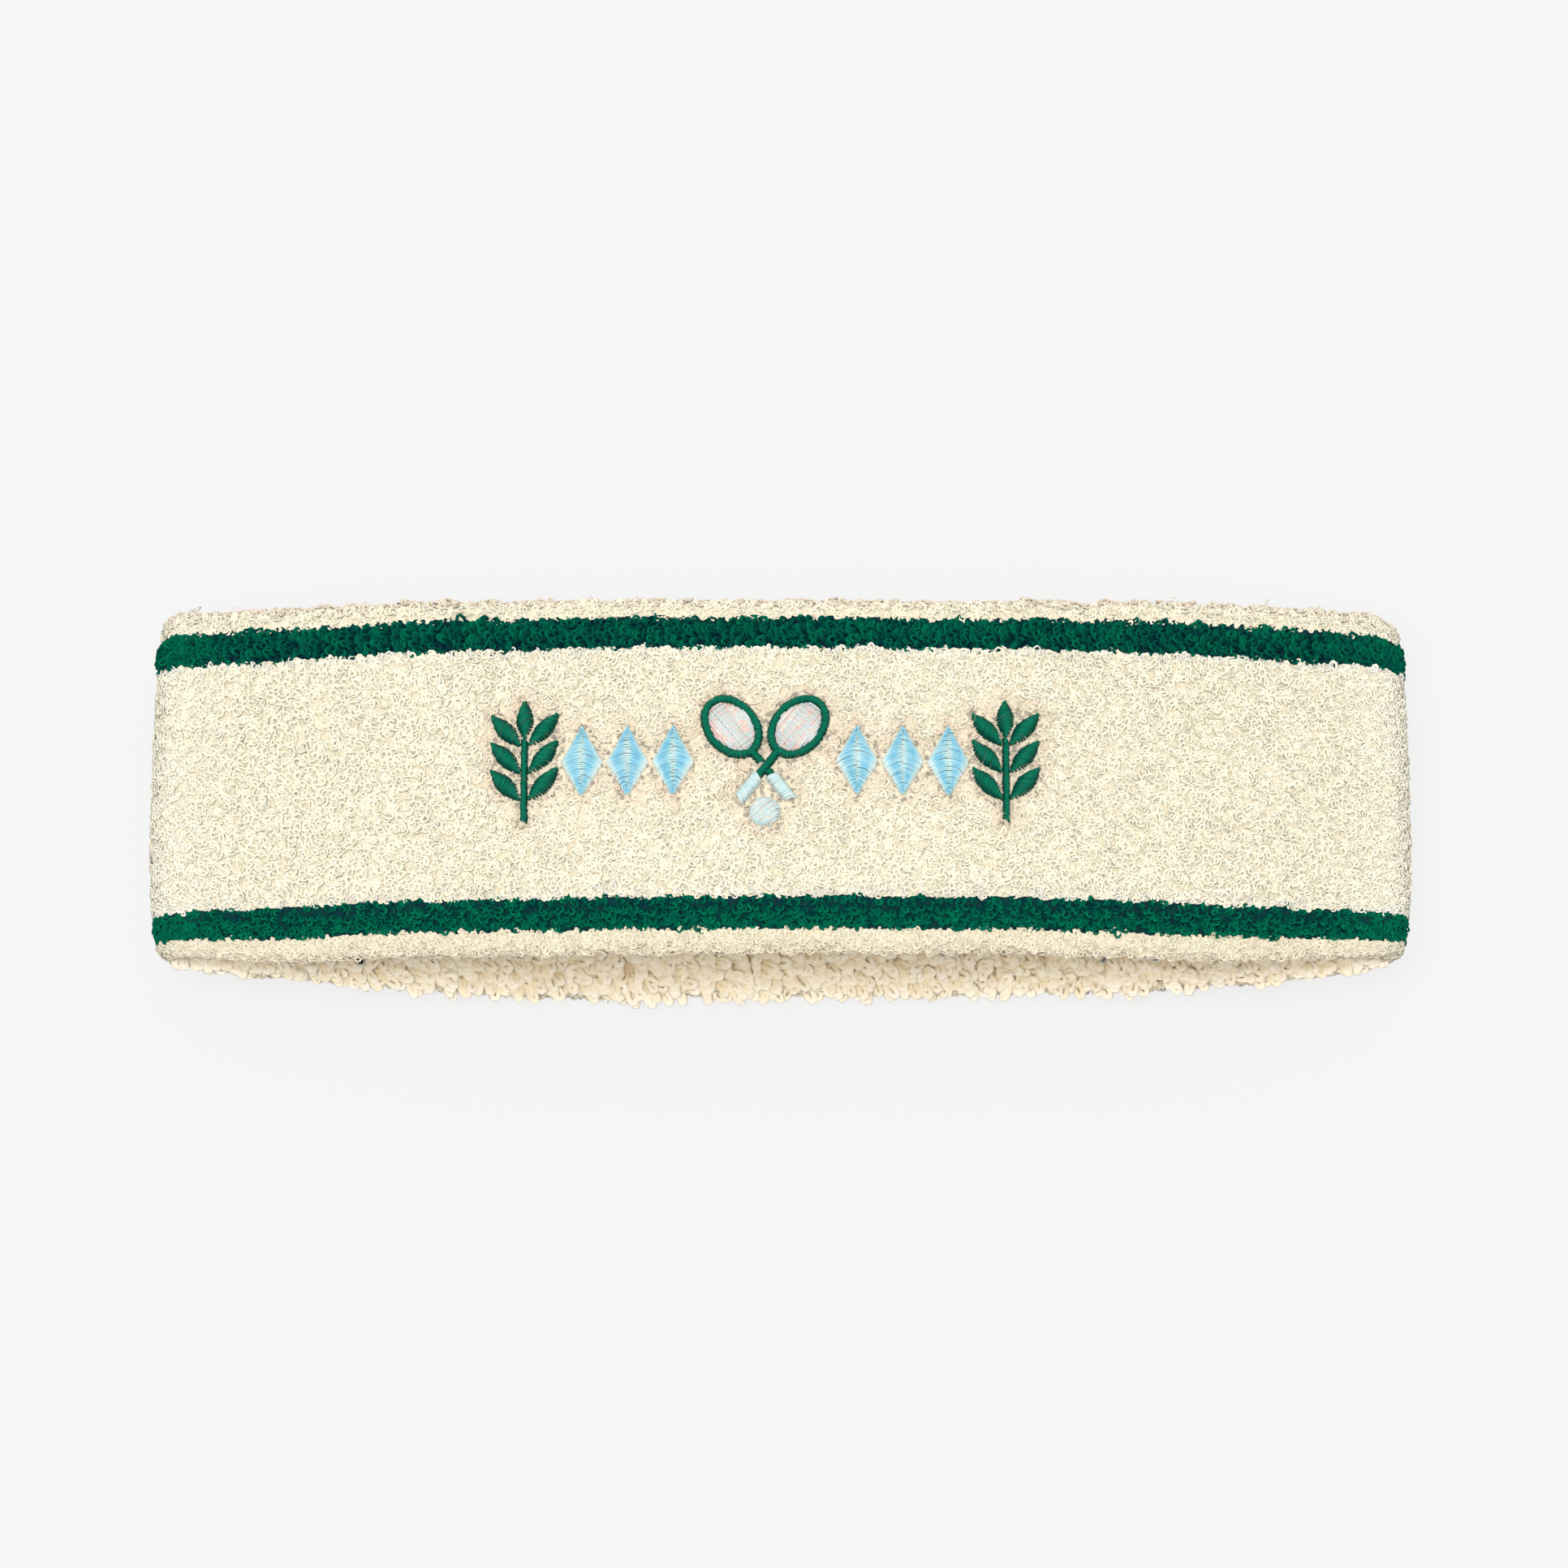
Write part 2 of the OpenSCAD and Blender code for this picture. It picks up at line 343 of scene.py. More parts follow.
def cloth_shell(name, v0, v1, depth, thickness, rows, material, nodes, slot, crest_rise=0.0):
    """A closed ring of cloth between two distances round the section, under the pile.

    crest_rise is how much nearer to the surface it lies where it turns round the edges.
    """
    columns = int(LOOP_L / SHELL_STEP)
    s = np.arange(columns) * LOOP_L / columns
    v = np.linspace(v0, v1, rows)
    grid_s, grid_v = np.meshgrid(s, v, indexing="ij")
    skins = []
    rise = crest_rise * np.clip((np.abs(grid_v) - FACE_H) / EDGE_R, 0, 1)
    for lift in (-depth, -depth - thickness):
        p, _, _, normal = cloth_frame(grid_s, grid_v, lift + rise)
        skins.append(settle(p, grid_s))
    facing = shading_direction(grid_s, normal)
    ring = np.concatenate([skins[0], skins[1][:, ::-1]], 1)
    around = ring.shape[1]
    i, j = np.meshgrid(np.arange(columns), np.arange(around), indexing="ij")
    i2, j2 = (i + 1) % columns, (j + 1) % around
    faces = np.stack([i * around + j, i2 * around + j, i2 * around + j2, i * around + j2], -1)
    piece = new_piece(name, ring, faces.reshape(-1, 4), material, nodes)
    height = np.concatenate([grid_v, grid_v[:, ::-1]], 1)
    point_values(piece, "height", height)
    point_facing(piece, np.concatenate([facing, facing[:, ::-1]], 1))
    u = np.stack([i, i + 1, i + 1, i], -1) / columns
    w = np.stack([j, j, j + 1, j + 1], -1) / around
    corner_map(piece, "OFBake", np.stack([u, w], -1).reshape(-1, 2))
    return piece


# ---- terry pile ----

ROW_GAP, JITTER = 0.88, 0.32


def scatter(s0, s1, v0, v1, pitch, depth):
    """Spots of loops in even rows, a little out of line; s0 and s1 are shares of the loop."""
    run = run_at(depth)
    total = run[-1]
    rows = max(1, int(round((v1 - v0) / (pitch * ROW_GAP))))
    per_row = int(round((s1 - s0) * total / pitch))
    i, j = np.meshgrid(np.arange(per_row), np.arange(rows), indexing="ij")
    along = s0 * total + (i + 0.5 * (j % 2) + 0.25) * (s1 - s0) * total / per_row
    v = v0 + (j + 0.5) * (v1 - v0) / rows
    along = along + rng.normal(0, JITTER * pitch, along.shape)
    v = v + rng.normal(0, JITTER * pitch, v.shape)
    along = np.mod(along.ravel(), total)
    s = np.interp(along, run, STATIONS)
    return s, v.ravel()


def varied(shape, amount, least, most):
    """Random factors about 1, kept between least and most."""
    return (1 + amount * rng.normal(0, 1, shape)).clip(least, most)


def loop_pile(name, s, v, look, material, nodes, sink=0.0, painted_shade=None, size=1.0, gap=None):
    """Terry loops standing on the cloth at the spots s, v.

    look holds the loop's width and height, the yarn's radius, how far loops
    lean from upright, which way they lean and how much each of these varies.
    sink presses loops into the cloth, size scales them, and gap is how far
    each stands from a border of colour: those beside one lean along it.
    """
    count = len(s)
    points, sides = look.get("points", 7), look.get("sides", 3)
    vary = look.get("vary", 0.16)
    base, along, across, normal = cloth_frame(s, v, np.full(count, -look["base"]) - sink)
    azimuth = look.get("turn", 0.0) + look.get("spread", 3.0) * rng.normal(0, 1, count)
    if gap is not None:
        along_border = math.pi * rng.integers(0, 2, count) + 0.3 * rng.normal(0, 1, count)
        azimuth = np.where(gap < 0.8, along_border, azimuth)
        size = size * np.clip(0.55 + 0.42 * gap, 0.55, 1.0)
    lean = np.clip(look["lean"] + look["lean_vary"] * rng.normal(0, 1, count), 0.1, 1.45)
    fold = fold_share(s)
    lean = lean + FOLD_FLATTEN * fold * (FOLD_LEAN - lean)
    width = look["width"] * varied(count, vary, 0.5, 1.6) * size
    height = look["height"] * varied(count, vary, 0.5, 1.5) * size * np.clip(1 - 0.5 * sink, 0.45, 1)
    cos, sin = np.cos(azimuth)[:, None], np.sin(azimuth)[:, None]
    lean_to = cos * along + sin * across
    beside = -sin * along + cos * across
    axis = np.cos(lean)[:, None] * normal + np.sin(lean)[:, None] * lean_to
    plane = np.cross(beside, axis)
    turn = 2 * math.pi * np.linspace(0.09, 0.91, points)[None, :, None]
    open_ = look.get("open", 0.25) * rng.normal(0, 1, count)[:, None, None]
    skew = look.get("skew", 0.25) * rng.normal(0, 1, count)[:, None, None]
    w, h = width[:, None, None], height[:, None, None]
    lines = (base[:, None, :]
             + 0.5 * w * (np.sin(turn) + skew * (1 - np.cos(turn))) * beside[:, None, :]
             + 0.5 * h * (1 - np.cos(turn)) * axis[:, None, :]
             + open_ * w * (turn / math.pi - 1) * plane[:, None, :])
    radius = look["yarn"] * varied((count, 1), 0.12, 0.7, 1.3) * np.ones((1, points))
    lines = settle(lines, np.repeat(s[:, None], points, 1))
    rise = np.broadcast_to(0.5 * (1 - np.cos(turn[..., 0])), (count, points))
    tone = rng.uniform(0, 1, count)
    # painted light: near a side fold the whole loop takes its pale tip colour
    rise = rise + FOLD_PAINTED_LIGHT * fold[:, None] * (1 - rise)
    piece = thread_piece(name, lines, radius, plane, sides, tone, rise, material, nodes)
    point_facing(piece, np.repeat(shading_direction(s, normal), points * sides, axis=0))
    # painted shade: how much of its material's shade colour each loop takes
    if painted_shade is not None:
        point_values(piece, "painted_shade", np.repeat(painted_shade, points * sides))
    return piece


def fold_share(s):
    """How near the side folds a spot is: 0 on the walls, 1 at a fold."""
    return np.clip((np.abs(pick(LINE, s)[..., 0]) / HALF_W - FOLD_FROM) / FOLD_OVER, 0, 1)


def shading_direction(s, normal):
    """Which way a spot's fuzz faces: it turns up towards the light where the cloth rounds off."""
    front = np.clip((pick(LINE, s)[..., 1] - FOLD_Z) / 10 + 0.5, 0, 1)
    rounded = np.maximum(front, normal[..., 1] ** 2) * np.clip(1 - normal[..., 2], 0, 1.2)
    under = TURN_BACK_UNDER + (TURN_FRONT_UNDER - TURN_BACK_UNDER) * front
    turn = TURN_UP + (under - TURN_UP) * np.clip(-normal[..., 1], 0, 1)
    outward = (normal[..., [0, 2]] * pick(NORMAL, s)).sum(-1)
    fold = fold_share(s) * np.clip(1 + 2 * outward, 0, 1)
    up = (fold + rounded) * turn * np.clip(1 + normal[..., 2], 0, 1)
    facing = normal + up[..., None] * np.array([0, 0, 1])
    return facing * (1 + 2 * fold[..., None])


FIELD_LOOK = dict(width=0.90, height=1.12, yarn=0.175, lean=1.14, lean_vary=0.17, vary=0.22, base=0.74)
RIM_LOOK = dict(width=0.44, height=0.62, yarn=0.115, lean=0.95, lean_vary=0.3, vary=0.25, base=0.78)
BORDER_LOOK = dict(width=0.95, height=1.25, yarn=0.15, lean=1.0, lean_vary=0.25, turn=1.6, spread=1.0,
                   vary=0.2, base=0.75)
UPPER_LOOK = dict(width=0.95, height=1.8, yarn=0.22, lean=1.15, lean_vary=0.12, turn=2.9, spread=0.35,
                  points=8, sides=4, open=0.12, base=0.85)
LOWER_LOOK = dict(width=0.8, height=1.4, yarn=0.19, lean=1.05, lean_vary=0.2, turn=-1.2, spread=0.6,
                  points=8, sides=4, open=0.12, base=0.85)
EDGE_LOOK = dict(width=0.76, height=0.88, yarn=0.17, lean=1.24, lean_vary=0.09, base=0.75)
LINING_LOOK = dict(width=0.95, height=2.4, yarn=0.43, lean=1.22, lean_vary=0.14, turn=2.2, spread=0.6,
                   points=8, sides=5, base=1.3, open=0.10, skew=0.12)
STRAY_LOOK = dict(width=0.9, height=1.3, yarn=0.07, lean=0.8, lean_vary=0.3, points=10, sides=4, vary=0.3,
                  base=0.5)


# ---- materials ----

def srgb(r, g, b):
    """Linear colour from the 0-255 numbers a screen shows."""
    def channel(c):
        c = c / 255
        return c / 12.92 if c <= 0.04045 else ((c + 0.055) / 1.055) ** 2.4
    return (channel(r), channel(g), channel(b), 1)


class Shader:
    """A small helper that builds one material's nodes."""

    def __init__(self, name, roughness, sheen=0.0, specular=0.25):
        self.material = bpy.data.materials.new(name)
        self.material.use_nodes = True
        self.tree = self.material.node_tree
        self.bsdf = self.tree.nodes["Principled BSDF"]
        for key, value in (("Roughness", roughness), ("Specular IOR Level", specular),
                           ("Sheen Weight", sheen), ("Sheen Roughness", 0.5)):
            self.bsdf.inputs[key].default_value = value

    def add(self, kind, **inputs):
        node = self.tree.nodes.new(kind)
        for key, value in inputs.items():
            self.put(value, node.inputs[key.replace("_", " ")])
        return node

    def put(self, value, socket):
        if isinstance(value, bpy.types.NodeSocket):
            self.tree.links.new(value, socket)
        else:
            socket.default_value = value

    def math(self, operation, a, b=0.0, c=0.0):
        node = self.tree.nodes.new("ShaderNodeMath")
        node.operation = operation
        for value, socket in zip((a, b, c), node.inputs):
            self.put(value, socket)
        return node.outputs[0]

    def value(self, name):
        node = self.tree.nodes.new("ShaderNodeAttribute")
        node.attribute_name = name
        return node.outputs["Fac"]

    def position(self):
        return self.tree.nodes.new("ShaderNodeNewGeometry").outputs["Position"]

    def noise(self, vector, size, detail=2.0):
        """Noise whose blotches are about size millimetres across."""
        node = self.add("ShaderNodeTexNoise", Vector=vector, Scale=1 / (size * MM), Detail=detail)
        return node.outputs["Fac"]

    def ramp(self, value, *stops):
        """Colour for a value, from stops of a place and a colour in 0-255 numbers."""
        node = self.tree.nodes.new("ShaderNodeValToRGB")
        self.put(value, node.inputs["Fac"])
        band = node.color_ramp
        while len(band.elements) < len(stops):
            band.elements.new(0.5)
        for element, (place, colour) in zip(band.elements, stops):
            element.position = place
            element.color = srgb(*colour)
        return node.outputs["Color"]

    def mix(self, factor, a, b):
        node = self.tree.nodes.new("ShaderNodeMix")
        node.data_type = "RGBA"
        self.put(factor, node.inputs["Factor"])
        self.put(a, node.inputs["A"])
        self.put(b, node.inputs["B"])
        return node.outputs["Result"]

    def bump(self, height, strength, distance, fuzz=0.0):
        """Bump; fuzz turns the shading towards the cloth's own facing, as a halo of fine fibres does."""
        node = self.add("ShaderNodeBump", Height=height, Strength=strength, Distance=distance * MM)
        normal = node.outputs["Normal"]
        if fuzz > 0:
            facing = self.tree.nodes.new("ShaderNodeAttribute")
            facing.attribute_name = "facing"
            normal = self.vector("MULTIPLY_ADD", facing.outputs["Vector"], (fuzz,) * 3, normal)
            normal = self.vector("NORMALIZE", normal)
        self.put(normal, self.bsdf.inputs["Normal"])

    def vector(self, operation, *values):
        node = self.tree.nodes.new("ShaderNodeVectorMath")
        node.operation = operation
        for value, socket in zip(values, node.inputs):
            self.put(value, socket)
        return node.outputs["Vector"]

    def colour(self, value):
        self.put(value, self.bsdf.inputs["Base Color"])

    def twist(self, turns_per_mm):
        """A wave that winds round a yarn, from its own map."""
        node = self.tree.nodes.new("ShaderNodeUVMap")
        node.uv_map = "yarn"
        split = self.add("ShaderNodeSeparateXYZ", Vector=node.outputs["UV"])
        phase = self.math("MULTIPLY_ADD", split.outputs["X"], turns_per_mm, split.outputs["Y"])
        return self.math("SINE", self.math("MULTIPLY", phase, 2 * math.pi))


def yarn_material(name, painted_root_shade, mid, tip, blotch=None, painted_shade=None, patch=9, fuzz=1.0, sheen=0.2,
                  specular=0.15):
    """Cotton yarn, with a tone of its own for each loop, darker where it enters the cloth: that root
    colour is painted shade between the loops.

    blotch tints patches of the cloth about patch millimetres across, and the shade colour tints the loops
    marked so, as painted shade where the pile is pressed down or rounds over an edge.
    """
    shader = Shader(name, 0.9, sheen, specular)
    lift, tone = shader.value("lift"), shader.value("tone")
    position = shader.position()
    shade = shader.math("ADD", shader.math("MULTIPLY", lift, 0.68), shader.math("MULTIPLY", tone, 0.32))
    # painted shade: the root colour at the foot of each loop stands for the shade between the loops
    colour = shader.ramp(shade, (0.12, painted_root_shade), (0.55, mid), (0.95, tip))
    if blotch is not None:
        wide = shader.noise(position, patch, 1)
        amount = shader.math("MULTIPLY", shader.math("SUBTRACT", wide, 0.35), 1.6)
        amount = shader.math("MAXIMUM", shader.math("MINIMUM", amount, 1.0), 0.0)
        colour = shader.mix(amount, colour, shader.mix(0.5, colour, srgb(*blotch)))
    # painted shade: marked loops are tinted towards the shade colour
    if painted_shade is not None:
        colour = shader.mix(shader.value("painted_shade"), colour, srgb(*painted_shade))
    shader.colour(colour)
    shader.bump(shader.math("ADD", shader.twist(1.6), shader.noise(position, 0.12)), 0.28, 0.05, fuzz)
    return shader.material


def satin_material(name, edge, middle, tip, vary, specular=0.35):
    """Embroidery thread, with its light painted along each stitch: at the ends, where it turns over, the
    edge colour is a painted highlight on the blue thread and painted shade on the green and pale ones;
    the middle colour runs along its raised top, a painted highlight on the green.
    """
    shader = Shader(name, 0.42, 0.0, specular)
    lift, tone = shader.value("lift"), shader.value("tone")
    position = shader.position()
    # painted light along each stitch: edge colour at its ends, tip and middle colours towards its top
    colour = shader.ramp(lift, (0.50, edge), (0.86, tip), (1.0, middle))
    drift = shader.noise(position, 1.4, 2)
    amount = shader.math("MULTIPLY", shader.math("ADD", tone, drift), 0.30)
    shader.colour(shader.mix(amount, colour, srgb(*vary)))
    shader.bump(shader.math("ADD", shader.twist(1.1), shader.noise(position, 0.1)), 0.4, 0.05)
    shader.put(shader.math("MULTIPLY_ADD", tone, 0.2, 0.34), shader.bsdf.inputs["Roughness"])
    return shader.material


def mixed_thread_material(name, size, *colours):
    """Thread of several pale colours that change along it, in dashes about size millimetres long."""
    shader = Shader(name, 0.5, 0.1)
    place = shader.math("ADD", shader.math("MULTIPLY", shader.noise(shader.position(), size, 1), 1.5),
                        shader.math("MULTIPLY_ADD", shader.value("tone"), 0.7, -0.6))
    stops = [((k + 0.5) / len(colours), colour) for k, colour in enumerate(colours)]
    shader.colour(shader.ramp(place, *stops))
    shader.bump(shader.math("ADD", shader.twist(1.1), shader.noise(shader.position(), 0.1)), 0.3, 0.04)
    return shader.material


def outer_ground_material():
    """Knit under the outer pile, green under the stripes."""
    shader = Shader("outer_ground", 0.95)
    size = shader.math("ABSOLUTE", shader.value("height"))
    stray = shader.math("SUBTRACT", shader.noise(shader.position(), 1.5), 0.5)
    size = shader.math("ADD", size, shader.math("MULTIPLY", stray, 0.8))
    inside = shader.math("MULTIPLY", shader.math("GREATER_THAN", size, STRIPE_AT),
                         shader.math("LESS_THAN", size, STRIPE_TOP))
    knit = shader.noise(shader.position(), 0.5)
    cream = shader.ramp(knit, (0.3, (240, 226, 196)), (0.7, (248, 238, 212)))
    # painted shade: the green knit under the pile is dark navy-green, the shade of the crevices between
    # the loops
    green = shader.ramp(knit, (0.3, (0, 34, 48)), (0.7, (0, 66, 62)))
    shader.colour(shader.mix(inside, cream, green))
    shader.bump(knit, 0.5, 0.2, 1.8)
    return shader.material


def lining_ground_material():
    """Knit under the pile of the lining."""
    shader = Shader("lining_ground", 0.95)
    knit = shader.noise(shader.position(), 0.6)
    shader.colour(shader.ramp(knit, (0.3, (224, 196, 156)), (0.7, (238, 218, 184))))
    shader.bump(knit, 0.5, 0.2, 1.0)
    return shader.material


def elastic_material():
    """Ribbed knit of the elastic core."""
    shader = Shader("elastic_knit", 0.9)
    position = shader.position()
    ribs = shader.add("ShaderNodeTexWave", Vector=position, Scale=1 / (2 * MM), Distortion=1.5,
                      Detail=2.0)
    height = shader.math("ADD", ribs.outputs["Fac"], shader.noise(position, 0.4))
    shader.colour(shader.ramp(height, (0.4, (206, 200, 186)), (0.9, (232, 226, 212))))
    shader.bump(height, 0.5, 0.15)
    return shader.material


def build_materials():
    green = dict(patch=3.5, sheen=0.0, specular=0.04, fuzz=0.8)
    return {
        # each yarn's first colour is painted shade at the root of its loops; the last pinkish-tan colour
        # of the cream and edge yarns is painted shade of the pressed halo and of the edges' crests
        "cream": yarn_material("cream_terry", (240, 229, 198), (247, 240, 215), (251, 246, 226),
                               blotch=(248, 240, 212), painted_shade=(234, 208, 184), fuzz=1.8),
        "edge": {
            1: yarn_material("cream_edge_upper", (238, 226, 197), (245, 237, 211), (249, 243, 222),
                             blotch=(249, 236, 208), painted_shade=(240, 214, 192), fuzz=1.8),
            # painted shade: the lower edge's yarn is a darker copy of the upper edge's
            -1: yarn_material("cream_edge_lower", (226, 213, 184), (237, 228, 201), (243, 236, 213),
                              blotch=(241, 225, 196), painted_shade=(230, 208, 182), fuzz=1.7)},
        "border": yarn_material("grey_cream_terry", (214, 212, 200), (236, 232, 218), (245, 242, 230)),
        # painted shade of the pressed rim round the stitching; its dark stipples are partly painted shade
        # of the needle holes, partly greyish fibres
        "rim": yarn_material("pressed_terry_painted_shade", (150, 142, 130), (224, 208, 186), (242, 226, 206),
                             painted_shade=(172, 162, 148)),
        "lining": yarn_material("lining_terry", (228, 206, 162), (245, 232, 202), (252, 243, 225),
                                blotch=(246, 226, 200), patch=4, fuzz=1.3),
        "green": {
            1: yarn_material("green_terry_upper", (0, 8, 38), (0, 62, 54), (0, 108, 76),
                             blotch=(0, 40, 58), **green),
            -1: yarn_material("green_terry_lower", (0, 38, 54), (0, 80, 64), (0, 112, 78),
                              blotch=(0, 68, 66), **green)},
        "green_thread": satin_material("green_satin", (0, 66, 58), (0, 122, 92), (0, 104, 80),
                                       (0, 84, 66), 0.10),
        "blue_thread": satin_material("blue_satin", (232, 243, 240), (92, 182, 214), (158, 214, 228),
                                      (206, 235, 236)),
        "grip_thread": satin_material("pale_satin", (184, 208, 210), (190, 224, 230), (214, 236, 236),
                                      (222, 230, 220)),
        "string_thread": mixed_thread_material("string_satin", 0.7, (232, 198, 188), (236, 226, 212),
                                               (196, 220, 226), (234, 214, 204), (206, 222, 222)),
        "ball_thread": mixed_thread_material("ball_satin", 0.8, (196, 222, 226), (214, 232, 226),
                                             (228, 212, 202), (186, 218, 224)),
        "seam_thread": mixed_thread_material("seam_cotton", 3.0, (240, 230, 204), (250, 242, 218)),
        "outer_ground": outer_ground_material(),
        "lining_ground": lining_ground_material(),
        "elastic": elastic_material()}


# ---- the emblem's flat shapes ----

EMBLEM = np.array([-2.1, 1.2])
SPRAY_AT = 33.8
LEAF_L, LEAF_W, LEAF_LEAN, LEAF_AT, LEAF_PITCH = 6.2, 2.3, 42, -5.4, 4.0
STEM_W, STEM_FOOT, STEM_TOP = 0.7, -8.6, 3.3
LOZENGE_AT, LOZENGE_PITCH, LOZENGE_W, LOZENGE_H = 12.9, 6.4, 5.8, 10.2
HEAD_RX, HEAD_RY, HEAD_AT, FRAME_W = 3.7, 5.0, 7.6, 0.9
SHAFT_W, GRIP_W, GRIP_L, GRIP_AT = 1.0, 1.7, 4.4, 1.6
RACKET_LEAN, RACKET_Y = 38, -1.0
BALL_R, BALL_Y = 2.1, -7.5
# half the width of the part of the front wall that the emblem is on
EMBLEM_REACH = 45
# spacing of the stitches on broad shapes, on narrow ones and of the crossing strings, and
# how far the stitches of a leaf slant from it, in degrees
STITCH_PITCH, LINE_PITCH, STRING_PITCH = 0.29, 0.30, 0.74
LEAF_SLANT = 32


def turned(points, degrees, move=(0, 0)):
    """Flat points turned counterclockwise and then moved."""
    a = math.radians(degrees)
    turn = np.array([[math.cos(a), math.sin(a)], [-math.sin(a), math.cos(a)]])
    return np.asarray(points) @ turn + np.asarray(move)


def leaf_outline(length):
    t = np.linspace(0, 1, 10)
    half = 0.5 * LEAF_W * np.sin(math.pi * t)
    y = t * length
    return np.concatenate([np.stack([half, y], 1), np.stack([-half, y], 1)[-2:0:-1]])


def ellipse_outline(rx, ry, y, steps=40):
    a = np.linspace(0, 2 * math.pi, steps, endpoint=False)
    return np.stack([rx * np.cos(a), y + ry * np.sin(a)], 1)


def box_outline(x0, y0, x1, y1):
    return np.array([[x0, y0], [x1, y0], [x1, y1], [x0, y1]], dtype=float)


def rows_through(outline, direction, pitch):
    """Stitches that cross an outline in one direction: their two ends, row by row."""
    flat = turned(outline, -direction)
    low, high = flat[:, 1].min(), flat[:, 1].max()
    rows = []
    for y in np.arange(low + pitch / 2, high, pitch):
        a, b = flat, np.roll(flat, -1, 0)
        hit = (a[:, 1] > y) != (b[:, 1] > y)
        x = a[hit, 0] + (y - a[hit, 1]) / (b[hit, 1] - a[hit, 1]) * (b[hit, 0] - a[hit, 0])
        x = np.sort(x)
        for x0, x1 in zip(x[::2], x[1::2]):
            if x1 - x0 > 0.15:
                rows.append([[x0, y], [x1, y]])
    return turned(rows, direction)


def across_path(path, width, pitch, slant=0.0):
    """Stitches that cross a path at even steps."""
    gaps = np.linalg.norm(np.diff(path, axis=0), axis=1)
    run = np.concatenate([[0], np.cumsum(gaps)])
    at = np.arange(pitch / 2, run[-1], pitch)
    mid = np.stack([np.interp(at, run, path[:, k]) for k in (0, 1)], 1)
    ahead = np.stack([np.interp(at + 0.1, run, path[:, k]) - np.interp(at - 0.1, run, path[:, k])
                      for k in (0, 1)], 1)
    ahead /= np.linalg.norm(ahead, axis=1)[:, None]
    beside = np.stack([-ahead[:, 1], ahead[:, 0]], 1) + slant * ahead
    half = 0.5 * width * beside
    return np.stack([mid - half, mid + half], 1)


def stitch_piece(name, rows, material, dome, node, yarn=0.165, points=9):
    """Raised satin stitches over the front wall; each row is one thread that dives in at both ends.

    dome is the height of a long stitch's middle over the cloth.
    """
    count = len(rows)
    rows = rows + rng.normal(0, 0.035, rows.shape)
    t = np.linspace(0, 1, points)
    flat = rows[:, :1] * (1 - t)[None, :, None] + rows[:, 1:] * t[None, :, None]
    length = np.linalg.norm(rows[:, 1] - rows[:, 0], axis=1)
    rise = (1 - np.abs(2 * t - 1) ** 3)[None, :]
    top = dome * np.clip(length / 2.2, 0.55, 1.0) * (1 + 0.08 * rng.normal(0, 1, count))
    lift = -0.45 + (0.45 + top[:, None]) * rise
    x, y = flat[..., 0] + EMBLEM[0], flat[..., 1] + EMBLEM[1]
    run = run_at(EDGE_R)
    s = np.interp(np.mod(x, run[-1]), run, STATIONS)
    p, _, _, normal = cloth_frame(s, y, lift)
    lines = settle(p, s)
    radius = np.full((count, points), yarn) * (1 + 0.06 * rng.normal(0, 1, (count, 1)))
    tone = rng.uniform(0, 1, count)
    rise = np.broadcast_to(rise, (count, points))
    side = normal[:, points // 2]
    return thread_piece(name, lines, radius, side, 5, tone, rise, material, [node])


def racket(points, hand):
    """Places a racket's own flat points; hand is 1 for the one that leans right."""
    return turned(points, -hand * RACKET_LEAN, (0, RACKET_Y))


def spray_leaf_outlines(side):
    """The seven leaves of a spray, three pairs and one on top, each with the way it leans."""
    leaves = []
    for k in range(3):
        for hand in (-1, 1):
            foot = (side * SPRAY_AT + hand * (STEM_W / 2 + 0.25), LEAF_AT + LEAF_PITCH * k)
            leaves.append((turned(leaf_outline(LEAF_L), -hand * LEAF_LEAN, foot), -hand * LEAF_LEAN))
    leaves.append((leaf_outline(LEAF_L - 0.6) + np.array([side * SPRAY_AT, STEM_TOP + 0.3]), 0))
    return leaves


def lozenge_outline(i):
    side = -1 if i <= 3 else 1
    step = 3 - i if i <= 3 else i - 4
    x = side * (LOZENGE_AT + LOZENGE_PITCH * step)
    w, h = LOZENGE_W / 2, LOZENGE_H / 2
    return np.array([[x, h], [x - w, 0], [x, -h], [x + w, 0]])


def emblem_outlines():
    """Every stitched area as a closed flat outline, for pressing the pile down round it."""
    areas = []
    for side in (-1, 1):
        areas += [leaf for leaf, _ in spray_leaf_outlines(side)]
        x = side * SPRAY_AT
        areas.append(box_outline(x - STEM_W / 2, STEM_FOOT, x + STEM_W / 2, STEM_TOP))
    areas += [lozenge_outline(i) for i in range(1, 7)]
    for hand in (1, -1):
        areas.append(racket(ellipse_outline(HEAD_RX, HEAD_RY, HEAD_AT), hand))
        shaft = box_outline(-SHAFT_W / 2, -GRIP_AT, SHAFT_W / 2, HEAD_AT - HEAD_RY + 0.2)
        areas.append(racket(shaft, hand))
        areas.append(racket(box_outline(-GRIP_W / 2, -GRIP_AT - GRIP_L, GRIP_W / 2, -GRIP_AT), hand))
    areas.append(ellipse_outline(BALL_R, BALL_R, BALL_Y))
    return areas


